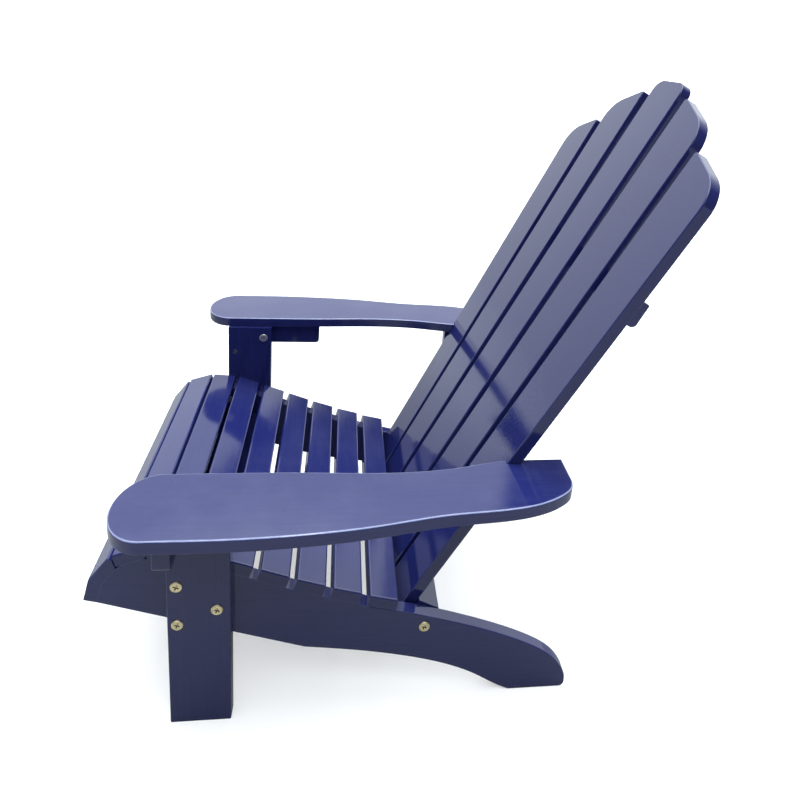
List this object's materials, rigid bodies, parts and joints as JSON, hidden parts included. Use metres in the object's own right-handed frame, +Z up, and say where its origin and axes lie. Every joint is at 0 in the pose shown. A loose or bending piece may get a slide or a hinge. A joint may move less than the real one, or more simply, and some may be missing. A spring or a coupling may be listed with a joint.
{
  "type": "adirondack chair",
  "caption": "Low, reclined garden armchair of painted boards, with a slatted seat on curved side rails, a fan-shaped slatted back and broad paddle arms.",
  "frame": {"origin": "on the floor, at the middle of the chair's bounding box seen from above", "axes": "+Z up, the chair faces -Y, +X is the sitter's left"},
  "size_m": [0.74, 0.9524, 1.0382],
  "materials": {
    "navy_painted_timber": "glossy dark navy paint over planed softwood, faint grain showing through",
    "brass_hardware": "brassed steel, lightly dulled outdoors",
    "zinc_steel": "zinc-plated steel",
    "bare_dowel": "unpainted hardwood dowel"
  },
  "bodies": {
    "root": {"apron_nails": "zinc_steel", "arm_rail": "navy_painted_timber", "arm_rail_screws": "zinc_steel", "back_slat_far_left": "navy_painted_timber", "back_slat_far_right": "navy_painted_timber", "back_slat_left": "navy_painted_timber", "back_slat_middle": "navy_painted_timber", "back_slat_right": "navy_painted_timber", "batten_screws": "zinc_steel", "bracket_screws": "zinc_steel", "bracket_to_arm_screws": "zinc_steel", "cleat_bolts": "zinc_steel", "cleat_insert_nuts": "zinc_steel", "cleat_to_arm_screws": "zinc_steel", "front_apron": "navy_painted_timber", "left_arm": "navy_painted_timber", "left_arm_bracket": "navy_painted_timber", "left_arm_cleat": "navy_painted_timber", "left_arm_rear_block": "navy_painted_timber", "left_leg": "navy_painted_timber", "left_rail": "navy_painted_timber", "leg_bolts": "brass_hardware", "leg_cap_nuts": "brass_hardware", "lower_back_rail": "navy_painted_timber", "lower_rail_screws": "zinc_steel", "rail_barrel_nuts": "brass_hardware", "rail_bolts": "brass_hardware", "rear_block_to_arm_screws": "zinc_steel", "rear_block_to_rail_screws": "zinc_steel", "right_arm": "navy_painted_timber", "right_arm_bracket": "navy_painted_timber", "right_arm_cleat": "navy_painted_timber", "right_arm_rear_block": "navy_painted_timber", "right_leg": "navy_painted_timber", "right_rail": "navy_painted_timber", "seat_nails": "zinc_steel", "seat_slat_1": "navy_painted_timber", "seat_slat_2": "navy_painted_timber", "seat_slat_3": "navy_painted_timber", "seat_slat_4": "navy_painted_timber", "seat_slat_5": "navy_painted_timber", "seat_slat_6": "navy_painted_timber", "seat_slat_7": "navy_painted_timber", "seat_slat_8": "navy_painted_timber", "seat_slat_9": "navy_painted_timber", "seat_stretcher": "navy_painted_timber", "stretcher_barrel_nuts": "brass_hardware", "stretcher_bolts": "brass_hardware", "stretcher_dowels": "bare_dowel", "upper_back_batten": "navy_painted_timber"}
  },
  "joints": []
}
